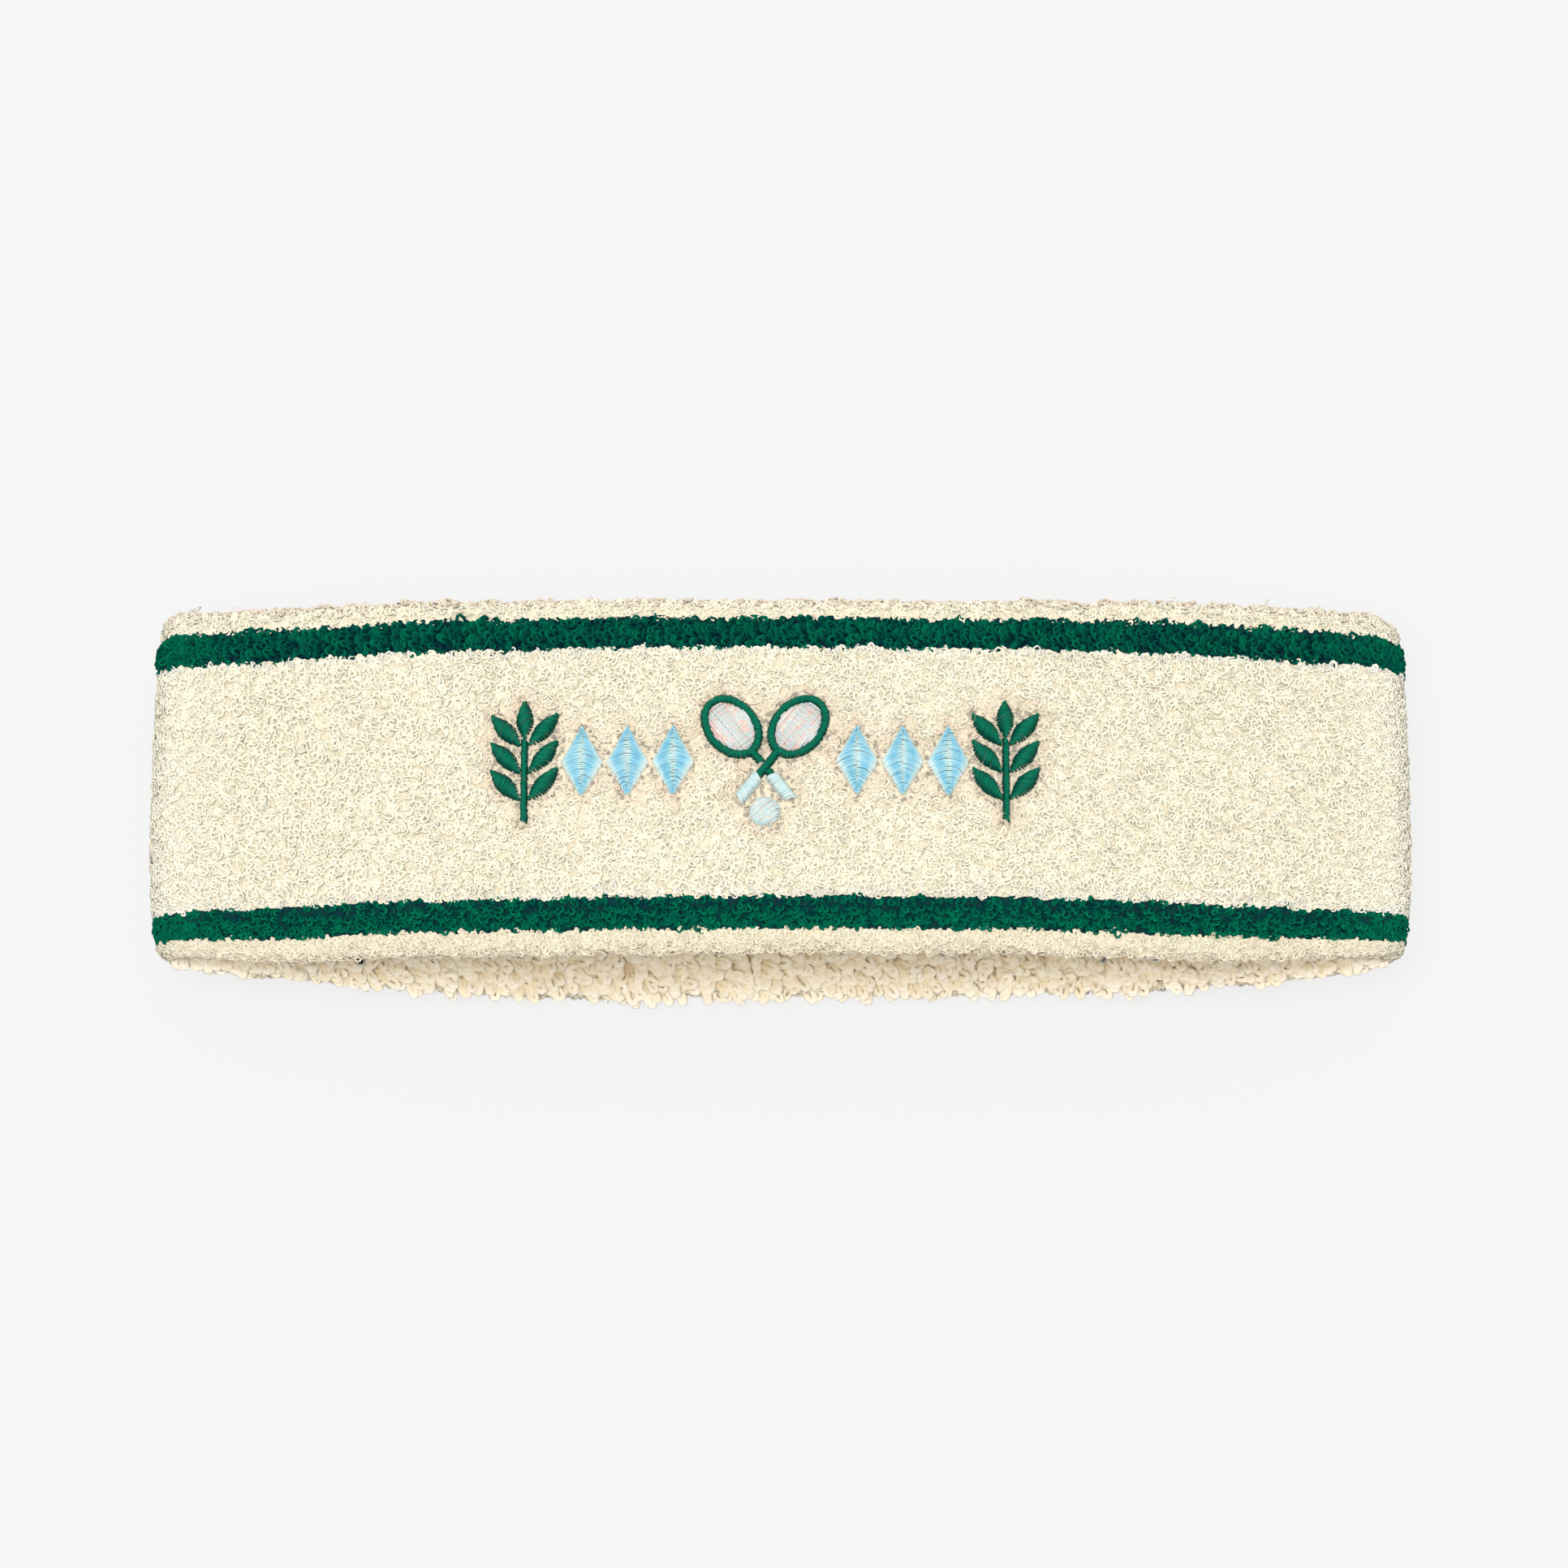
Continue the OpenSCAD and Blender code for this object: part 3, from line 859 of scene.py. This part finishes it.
def outside_distance(points, areas):
    """Distance of flat points from the nearest area, negative inside one."""
    best = np.full(len(points), 99.0)
    for area in areas:
        a, b = area, np.roll(area, -1, 0)
        ab = b - a
        ap = points[:, None, :] - a[None]
        t = np.clip((ap * ab).sum(2) / (ab ** 2).sum(1), 0, 1)
        d = np.linalg.norm(ap - t[..., None] * ab, axis=2).min(1)
        y = points[:, 1:]
        crosses = (a[:, 1] > y) != (b[:, 1] > y)
        with np.errstate(divide="ignore", invalid="ignore"):
            x = a[:, 0] + (y - a[:, 1]) / ab[:, 1] * ab[:, 0]
        inside = (crosses & (points[:, :1] < x)).sum(1) % 2 == 1
        best = np.minimum(best, np.where(inside, -d, d))
    return best


def front_x(s):
    """Distance from the middle of the front wall along its outer face."""
    run = run_at(EDGE_R)
    out = np.interp(np.mod(s, LOOP_L), STATIONS, run)
    return np.where(out > run[-1] / 2, out - run[-1], out)


# ---- building the piles ----

def border_wobble(s, seed):
    """How far a border of colour strays from its line, in millimetres."""
    return 0.20 * waves(seed, 14, 1.6, 22)(s)


def build_field(materials):
    """Cream pile between the stripes, in ten lengths, with looser loops beside the stripes."""
    areas = emblem_outlines()
    made = []
    low_v, high_v = -STRIPE_AT - 0.4, STRIPE_AT + 0.2
    for k in range(10):
        s, v = scatter((k - 0.5) / 10, (k + 0.5) / 10, low_v, high_v, FIELD_PITCH, EDGE_R)
        sink = np.zeros(len(s))
        keep = np.ones(len(s), dtype=bool)
        near = np.abs(front_x(s)) < EMBLEM_REACH
        d = outside_distance(np.stack([front_x(s[near]), v[near]], 1) - EMBLEM, areas)
        sink[near] = 0.32 * np.exp(-(np.maximum(d, 0) / 1.4) ** 2)
        keep[near] = d > RIM_W
        rim = np.flatnonzero(near)[(d > 0.2) & (d <= RIM_W)]
        high = v - STRIPE_AT + 0.2 - STRIPE_TRIM[1][0] + border_wobble(s, INNER_SEED[1])
        low = -v - STRIPE_AT + 0.2 - STRIPE_TRIM[-1][0] + border_wobble(s, INNER_SEED[-1])
        keep &= (high < 0) & (low < 0)
        if len(rim):
            # dark stipples: partly painted shade of the needle holes at the stitching's edge, partly
            # greyish fibres
            dark = 0.9 * (rng.uniform(0, 1, len(rim)) < 0.45)
            made.append(loop_pile(f"pressed_pile_{k + 1}", s[rim], v[rim], RIM_LOOK, materials["rim"],
                                  ["outer_field"], painted_shade=dark))
        # painted shade: the sunken loops round the stitching take the shade colour, more the deeper they
        # sink
        painted_shade = np.clip(3.4 * sink[keep], 0, 0.9)
        size = 1 - FOLD_SHRINK * fold_share(s[keep])
        gap = np.minimum(-high, -low)[keep]
        made.append(loop_pile(f"field_pile_{k + 1}", s[keep], v[keep], FIELD_LOOK, materials["cream"],
                              ["outer_field"], sink[keep], painted_shade, size, gap))
    for side, name in ((1, "upper"), (-1, "lower")):
        border = STRIPE_AT + STRIPE_TRIM[side][0]
        s, v = scatter(0, 1, border - 1.0, border, BORDER_PITCH, EDGE_R)
        gap = border - v - 0.15 - border_wobble(s, INNER_SEED[side])
        keep = gap > 0
        made.append(loop_pile(f"{name}_border_pile", s[keep], side * v[keep], BORDER_LOOK,
                              materials["border"], ["outer_field"], gap=gap[keep]))
    return made


def half_loop(half, v0, v1, pitch):
    """Spots of the outer pile on the right half of the loop, 0, or the left half, 1."""
    return scatter(half / 2 - 0.25, half / 2 + 0.25, v0, v1, pitch, EDGE_R)


def build_stripe(side, materials):
    """Green pile of one stripe, in two halves of the loop."""
    name = "upper_stripe" if side > 0 else "lower_stripe"
    look = UPPER_LOOK if side > 0 else LOWER_LOOK
    made = []
    for half in (0, 1):
        s, v = half_loop(half, STRIPE_AT - 0.4, STRIPE_TOP + 0.4, FIELD_PITCH)
        inner = v - STRIPE_AT - STRIPE_TRIM[side][0] + border_wobble(s, INNER_SEED[side])
        outer = STRIPE_TOP - STRIPE_TRIM[side][1] - v - 0.1 + border_wobble(s, OUTER_SEED[side])
        keep = (inner > 0) & (outer > 0)
        gap = np.minimum(inner, outer)[keep]
        made.append(loop_pile(f"{name}_pile_{half + 1}", s[keep], side * v[keep], look,
                              materials["green"][side], [name], gap=gap))
    return made


def on_front(s):
    """1 on the front wall, 0 on the back wall, for distances along the loop."""
    return (pick(LINE, s)[..., 1] > FOLD_Z).astype(float)


def build_edge(side, materials):
    """Fine pile over one folded edge, in two halves of the loop, and a few stray loops along it."""
    name = "upper_edge" if side > 0 else "lower_edge"
    material = materials["edge"][side]
    made = []
    for half in (0, 1):
        first = STRIPE_TOP - STRIPE_TRIM[side][1]
        s, v = half_loop(half, first - 0.2, FACE_H + 0.85 * EDGE_ARC, EDGE_PITCH)
        last = FACE_H + EDGE_ARC * (0.6 + 0.25 * on_front(s))
        gap = v - first + border_wobble(s, OUTER_SEED[side])
        keep = (gap > 0) & (v < last)
        s, v, gap = s[keep], v[keep], gap[keep]
        # painted shade: loops towards the crest of the edge take more of the shade colour, most on the
        # upper edge
        rim = (v - FACE_H) / EDGE_ARC - 0.15
        painted_shade = np.clip(rim * (2.2 if side > 0 else 0.9), 0, 0.75)
        made.append(loop_pile(f"{name}_pile_{half + 1}", s, side * v, EDGE_LOOK, material,
                              [name], painted_shade=painted_shade, gap=gap))
    s, v = scatter(0, 1, FACE_H + 0.1 * EDGE_ARC, FACE_H + 0.5 * EDGE_ARC, STRAY_PITCH, EDGE_R)
    some = rng.uniform(0, 1, len(s)) < STRAY_SHARE
    # painted shade: the stray loops take some of the crest's shade colour
    made.append(loop_pile(f"{name}_stray_loops", s[some], side * v[some], STRAY_LOOK, material,
                          [name], painted_shade=np.full(some.sum(), 0.4)))
    return made


def build_lining(materials):
    """Coarse pile on the inside, from one edge's crest to the other, parted along the closing seam."""
    made = []
    for k in range(6):
        parts = [scatter(k / 6, (k + 1) / 6, FACE_H + 0.62 * EDGE_ARC, SEAM_AT, LINING_PITCH, -EDGE_R)
                 for _ in range(2)]
        s = np.concatenate([parts[0][0], parts[1][0]])
        v = np.concatenate([parts[0][1], -parts[1][1]])
        first = FACE_H + EDGE_ARC * (0.78 + 0.34 * on_front(s))
        keep = (np.abs(v) > first) & (np.abs(v) < SEAM_AT - SEAM_HALF)
        made.append(loop_pile(f"lining_pile_{k + 1}", s[keep], v[keep], LINING_LOOK, materials["lining"],
                              ["inner_lining"]))
    return made


def build_seam(materials):
    """Linking stitches along the closing seam: a row of small crossed loops all round the inside."""
    run = run_at(-EDGE_R)
    count = int(run[-1] / SEAM_PITCH)
    spots = np.interp((np.arange(count) + 0.5) * run[-1] / count, run, STATIONS)
    t = np.linspace(0, 1, 9)
    s = spots[:, None] + 0.75 * (t - 0.5)
    made = []
    for hand in (1, -1):
        v = SEAM_AT + hand * SEAM_HALF * 2 * (t - 0.5) + np.zeros_like(s)
        lift = -0.9 + (1.35 + 0.1 * hand) * np.sin(math.pi * t) + np.zeros_like(s)
        p, _, across, _ = cloth_frame(s, v, lift)
        made.append(settle(p, s))
    lines = np.concatenate(made)
    radius = np.full(lines.shape[:2], 0.17)
    side = np.tile(across[:, 4], (2, 1))
    tone = rng.uniform(0, 1, len(lines))
    rise = np.broadcast_to(np.sin(math.pi * t), lines.shape[:2])
    return thread_piece("seam_stitches", lines, radius, side, 5, tone, rise, materials["seam_thread"],
                        ["closing_seam"])


# ---- the emblem's stitching ----

def lozenge_rows(outline):
    """Stitches that slope down from the middle on both halves of a lozenge."""
    top, left, foot, right = outline
    rows = [rows_through(np.array([top, left, foot]), 24, STITCH_PITCH),
            rows_through(np.array([top, foot, right]), -24, STITCH_PITCH)]
    return np.concatenate(rows)


def racket_frame_rows(hand):
    """Stitches across the head's ring and the shaft; those of the racket below stop at the crossing."""
    ring = ellipse_outline(HEAD_RX - FRAME_W / 2, HEAD_RY - FRAME_W / 2, HEAD_AT, 80)
    ring = np.concatenate([ring, ring[:2]])
    shaft = np.array([[0, HEAD_AT - HEAD_RY + 0.3], [0, -GRIP_AT]])
    rows = np.concatenate([across_path(ring, FRAME_W + 0.1, LINE_PITCH, 0.45),
                           across_path(shaft, SHAFT_W, LINE_PITCH, 0.45)])
    placed = racket(rows, hand)
    if hand < 0:
        middle = turned(placed.mean(1) - np.array([0, RACKET_Y]), RACKET_LEAN)
        hidden = (np.abs(middle[:, 0]) < SHAFT_W / 2 + 0.25) & (np.abs(middle[:, 1]) < 4)
        placed = placed[~hidden]
    return placed


def build_rackets(materials):
    for hand, tag in ((1, "a"), (-1, "b")):
        stitch_piece(f"racket_frame_{tag}_stitches", racket_frame_rows(hand), materials["green_thread"],
                     0.62, f"racket_frame_{tag}")
        bed = racket(ellipse_outline(HEAD_RX - FRAME_W, HEAD_RY - FRAME_W, HEAD_AT), hand)
        fill = rows_through(bed, 90 - hand * RACKET_LEAN, LINE_PITCH)
        cross = rows_through(bed, -hand * RACKET_LEAN, STRING_PITCH)
        stitch_piece(f"racket_strings_{tag}_fill", fill, materials["string_thread"], 0.12,
                     f"racket_strings_{tag}", yarn=0.17, points=11)
        stitch_piece(f"racket_strings_{tag}_cross", cross, materials["string_thread"], 0.30,
                     f"racket_strings_{tag}", yarn=0.12, points=11)
        grip = np.array([[0, -GRIP_AT], [0, -GRIP_AT - GRIP_L]])
        rows = across_path(grip, GRIP_W, STITCH_PITCH, 0.35)
        stitch_piece(f"racket_grip_{tag}_stitches", racket(rows, hand), materials["grip_thread"], 0.62,
                     f"racket_grip_{tag}")


def build_emblem(materials):
    for side, name in ((-1, "left"), (1, "right")):
        stem = np.array([[side * SPRAY_AT, STEM_FOOT], [side * SPRAY_AT, STEM_TOP]])
        stitch_piece(f"{name}_stem_stitches", across_path(stem, STEM_W + 0.1, LINE_PITCH, 0.6),
                     materials["green_thread"], 0.60, f"{name}_stem")
        rows = [rows_through(outline, lean + LEAF_SLANT, STITCH_PITCH)
                for outline, lean in spray_leaf_outlines(side)]
        stitch_piece(f"{name}_leaves_stitches", np.concatenate(rows), materials["green_thread"], 0.50,
                     f"{name}_leaves")
    for i in range(1, 7):
        stitch_piece(f"lozenge_{i}_stitches", lozenge_rows(lozenge_outline(i)), materials["blue_thread"],
                     0.50, f"lozenge_{i}")
    build_rackets(materials)
    ball = ellipse_outline(BALL_R, BALL_R, BALL_Y)
    stitch_piece("ball_stitches", rows_through(ball, 40, STITCH_PITCH), materials["ball_thread"], 0.60,
                 "ball_patch")


# ---- floor, light and camera, in metres and watts ----

FLOOR_HALF, FLOOR_DROP = 3.0, 0.0004
FLOOR_GREY, FLOOR_GLOW = 0.12, 0.765
ROOM_LOW, ROOM_HIGH = 0.90, 0.62
KEY_TILT, KEY_AWAY, KEY_POWER = 78, 1.3, 10.0
FILL_POWER, FRONT_POWER, BACK_POWER, SIDE_POWER = 0.8, 0.3, 0.8, 0.3
SENSOR = 36
TILT = 72.5
DISTANCE, FRAME_WIDTH = 0.80, 0.2239
CAMERA_TARGET = (0.0005, 0.0020, 0.0160)


def build_stage():
    """White paper that glows a little, so that it stays white under the part."""
    r = FLOOR_HALF
    mesh = bpy.data.meshes.new("floor")
    mesh.from_pydata([(-r, -r, 0), (r, -r, 0), (r, r, 0), (-r, r, 0)], [], [(0, 1, 2, 3)])
    floor = bpy.data.objects.new("floor", mesh)
    floor.location.z = -FLOOR_DROP
    bpy.context.scene.collection.objects.link(floor)
    shader = Shader("floor_paper", 0.9)
    shader.bsdf.inputs["Base Color"].default_value = (FLOOR_GREY, FLOOR_GREY, FLOOR_GREY, 1)
    shader.bsdf.inputs["Emission Color"].default_value = (1, 1, 1, 1)
    shader.bsdf.inputs["Emission Strength"].default_value = FLOOR_GLOW
    mesh.materials.append(shader.material)


def area_light(name, place, size, power, target=(0, 0, 0)):
    light = bpy.data.lights.new(name, "AREA")
    light.shape = "SQUARE"
    light.size = size
    light.energy = power
    lamp = bpy.data.objects.new(name, light)
    lamp.location = place
    lamp.rotation_euler = (Vector(target) - Vector(place)).to_track_quat("-Z", "Y").to_euler()
    bpy.context.scene.collection.objects.link(lamp)


def build_light():
    """A soft room that is brighter near the horizon, and a broad lamp from the viewer's side."""
    world = bpy.data.worlds.new("soft_room")
    bpy.context.scene.world = world
    world.use_nodes = True
    tree = world.node_tree
    place = tree.nodes.new("ShaderNodeTexCoord")
    split = tree.nodes.new("ShaderNodeSeparateXYZ")
    ramp = tree.nodes.new("ShaderNodeValToRGB")
    tree.links.new(place.outputs["Generated"], split.inputs["Vector"])
    tree.links.new(split.outputs["Z"], ramp.inputs["Fac"])
    tree.links.new(ramp.outputs["Color"], tree.nodes["Background"].inputs["Color"])
    low, high = ramp.color_ramp.elements
    low.position, low.color = 0.2, (ROOM_LOW, ROOM_LOW, ROOM_LOW, 1)
    high.position, high.color = 0.4, (ROOM_HIGH, ROOM_HIGH, ROOM_HIGH, 1)
    e = math.radians(KEY_TILT)
    area_light("key", (-0.12, -KEY_AWAY * math.cos(e), KEY_AWAY * math.sin(e)), 0.55, KEY_POWER)
    area_light("fill", (0.3, 0.5, 1.0), 0.9, FILL_POWER)
    area_light("front_fill", (0, -0.95, 0.40), 0.6, FRONT_POWER)
    area_light("back_fill", (0, 0.95, 0.45), 0.6, BACK_POWER, (0, 0.02, 0))
    for side in (-1, 1):
        area_light(f"side_{side}", (0.9 * side, -0.05, 0.38), 0.5, SIDE_POWER, (0.07 * side, 0, 0.01))
    bpy.context.scene.view_settings.view_transform = "Standard"


def build_camera():
    camera = bpy.data.cameras.new("camera")
    camera.sensor_width = SENSOR
    camera.lens = SENSOR * DISTANCE / FRAME_WIDTH
    camera.clip_start = 0.01
    camera.clip_end = 20
    holder = bpy.data.objects.new("camera", camera)
    e = math.radians(TILT)
    holder.location = np.array(CAMERA_TARGET) + DISTANCE * np.array([0, -math.cos(e), math.sin(e)])
    holder.rotation_euler = (math.radians(90 - TILT), 0, 0)
    bpy.context.scene.collection.objects.link(holder)
    bpy.context.scene.camera = holder


# ---- assembly ----

materials = build_materials()
outer_nodes = ["outer_field", "upper_stripe", "lower_stripe", "upper_edge", "lower_edge"]
crest = FACE_H + 0.75 * EDGE_ARC
outer_cloth = cloth_shell("outer_cloth", -crest, crest, GROUND_DEPTH, GROUND_T, 90,
                          materials["outer_ground"], outer_nodes, "cream_terry", CREST_RISE)
outer_pile = build_field(materials)
for side in (1, -1):
    outer_pile += build_stripe(side, materials)
    outer_pile += build_edge(side, materials)
core_knit = cloth_shell("core_knit", -STRIPE_TOP, STRIPE_TOP, CORE_DEPTH, CORE_T, 24,
                        materials["elastic"], ["elastic_core"], "elastic_knit")
inside = (FACE_H + 0.60 * EDGE_ARC, FACE_H + EDGE_ARC + 2 * FACE_H)
lining_cloth = cloth_shell("lining_cloth", *inside, LINING_DEPTH, LINING_T, 90,
                           materials["lining_ground"], ["inner_lining"], "lining_terry")
inner_pile = build_lining(materials) + [build_seam(materials)]
build_emblem(materials)

build_stage()
build_light()
build_camera()
